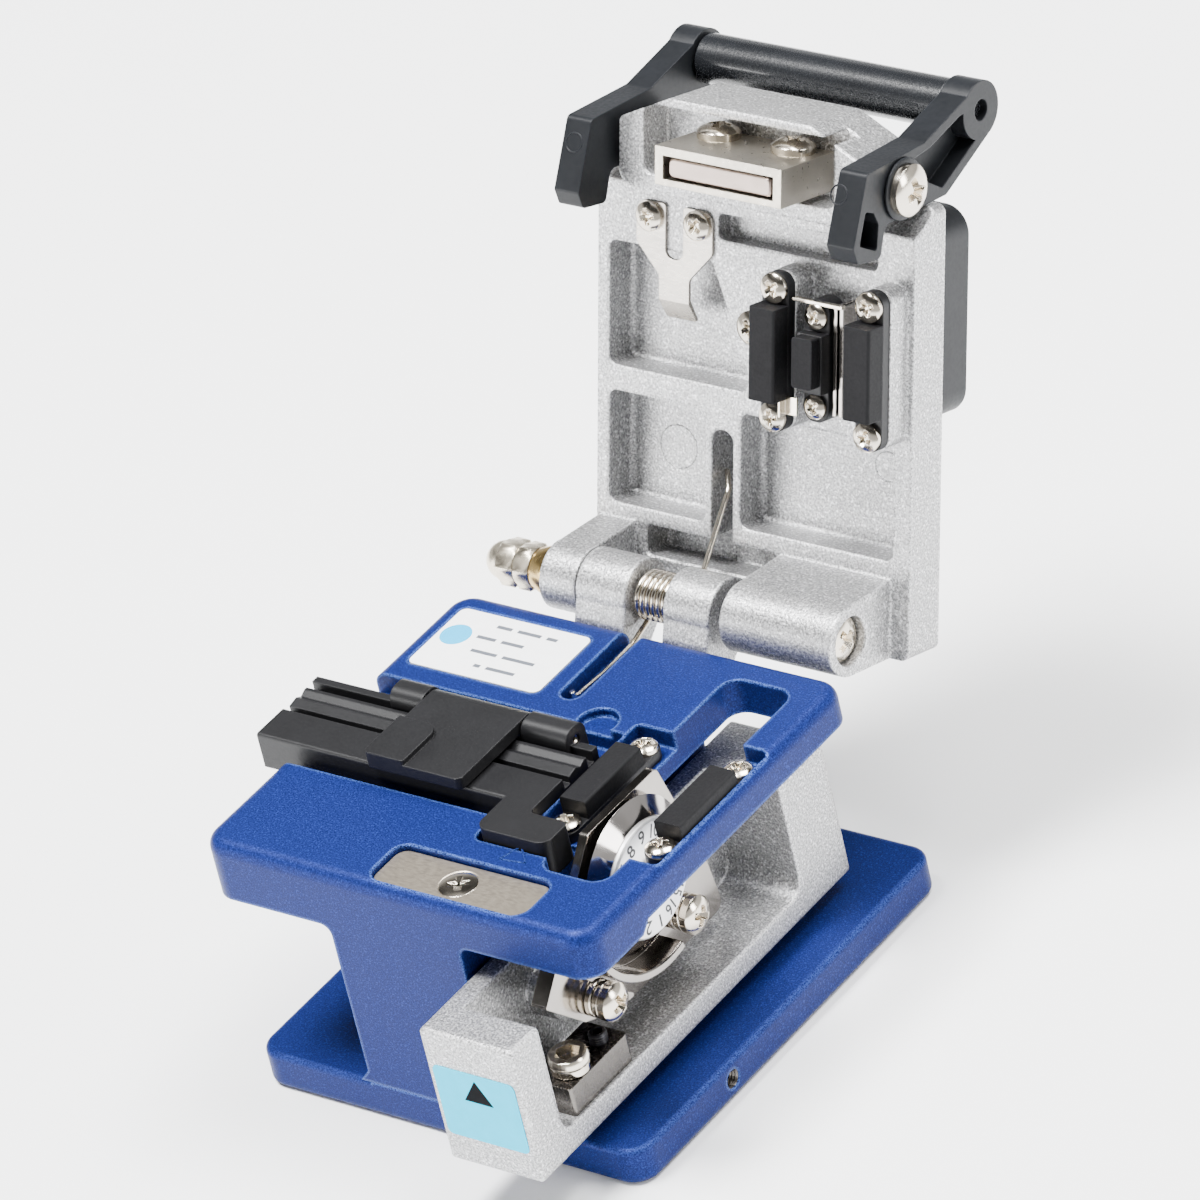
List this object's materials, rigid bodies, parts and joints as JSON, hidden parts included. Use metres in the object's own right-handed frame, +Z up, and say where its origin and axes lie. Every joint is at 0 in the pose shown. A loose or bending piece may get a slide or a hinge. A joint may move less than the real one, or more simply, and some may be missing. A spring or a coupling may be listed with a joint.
{
  "type": "fibre cleaver",
  "caption": "Hand-held fibre cleaver with a sprung pressing lid, a pry lever with a roller, and a sliding carriage that draws a round blade under the fibre.",
  "frame": {"origin": "centre of the underside of the base plate", "axes": "+X right along the lid's hinge, +Y to the rear where the lid is hinged, +Z up"},
  "size_m": [0.0649, 0.1182, 0.0959],
  "materials": {
    "blue_paint": "metallic satin",
    "cast_silver": "painted cast",
    "white_label": "satin",
    "cyan_label": "satin",
    "steel": "ground",
    "blade_steel": "polished",
    "nickel": "plated",
    "black_steel": "blackened",
    "brass": "turned",
    "black_anodised": "matte anodised",
    "rubber": "satin",
    "black_plastic": "satin",
    "gloss_black": "gloss"
  },
  "bodies": {
    "base": {"base_plate": "blue_paint", "body_casting": "blue_paint", "hinge_bracket": "cast_silver", "label_plate": "white_label", "steel_plate": "steel", "steel_plate_screw": "nickel", "lower_pad_base_left": "black_anodised", "lower_rubber_left": "rubber", "lower_pad_screws_left": "nickel", "lower_pad_base_right": "black_anodised", "lower_rubber_right": "rubber", "lower_pad_screws_right": "nickel", "fibre_holder": "black_anodised", "holder_hinge_pin": "steel", "linear_rail": "steel", "torsion_spring": "steel"},
    "clamp": {"holder_clamp": "black_anodised"},
    "slider": {"slider_carriage": "cast_silver", "slider_sticker": "cyan_label", "rail_carriage": "steel", "blade_arm": "steel", "spring_washers": "nickel", "arm_screws": "nickel", "height_block": "steel", "cap_screw": "nickel", "grub_screw": "black_steel"},
    "blade": {"blade_disc": "blade_steel", "blade_dial": "steel", "blade_axle_screw": "nickel"},
    "lid": {"lid_casting": "cast_silver", "hinge_screw": "nickel", "hinge_washer": "brass", "lock_nut": "nickel", "cap_nut": "nickel", "spring_lid_leg": "steel", "magnet_holder": "steel", "magnet": "steel", "magnet_screws": "nickel", "leaf_spring": "steel", "leaf_screws": "nickel", "upper_pad_base_left": "black_anodised", "upper_rubber_left": "rubber", "upper_pad_screws_left": "nickel", "upper_pad_base_right": "black_anodised", "upper_rubber_right": "rubber", "upper_pad_screws_right": "nickel", "steel_leaves": "steel", "lid_back_cover": "black_plastic", "lid_screw": "nickel", "pivot_screw_left": "nickel", "pivot_screw_right": "nickel"},
    "anvil": {"anvil_holder": "black_anodised", "anvil_pad": "rubber", "anvil_screws": "nickel"},
    "lever": {"lever_arm_right": "black_plastic", "lever_arm_left": "black_plastic", "roller_shaft": "steel"},
    "roller": {"roller": "gloss_black"}
  },
  "joints": [
    {"name": "lid_hinge", "type": "hinge", "parent": "base", "child": "lid", "pos_m": [0, 0.0287, 0.03857], "axis": [1, 0, 0], "range_deg": [0, 109.5], "stiffness_Nm_per_rad": 0.02, "springref_deg": -34.38},
    {"name": "lever_pivot", "type": "hinge", "parent": "lid", "child": "lever", "pos_m": [0, 0.05372, 0.08895], "axis": [1, 0, 0], "range_deg": [0, 16.5]},
    {"name": "roller_spin", "type": "hinge", "parent": "lever", "child": "roller", "pos_m": [0, 0.07132, 0.08942], "axis": [1, 0, 0], "continuous": true},
    {"name": "anvil_stroke", "type": "slide", "parent": "lid", "child": "anvil", "axis": [0, 0.9426, -0.3338], "range_m": [0, 0.0008], "stiffness_N_per_m": 600, "springref_m": -0.001},
    {"name": "carriage_slide", "type": "slide", "parent": "base", "child": "slider", "axis": [0, 1, 0], "range_m": [0, 0.0175]},
    {"name": "blade_spin", "type": "hinge", "parent": "slider", "child": "blade", "pos_m": [0.0193, -0.0104, 0.0288], "axis": [1, 0, 0], "continuous": true},
    {"name": "clamp_hinge", "type": "hinge", "parent": "base", "child": "clamp", "pos_m": [0, -0.0008, 0.039], "axis": [1, 0, 0], "range_deg": [-105, 0]}
  ],
  "couplings": [
    {"joint": "lever_pivot", "follows": "lid_hinge", "ratio": 0.15068}
  ]
}
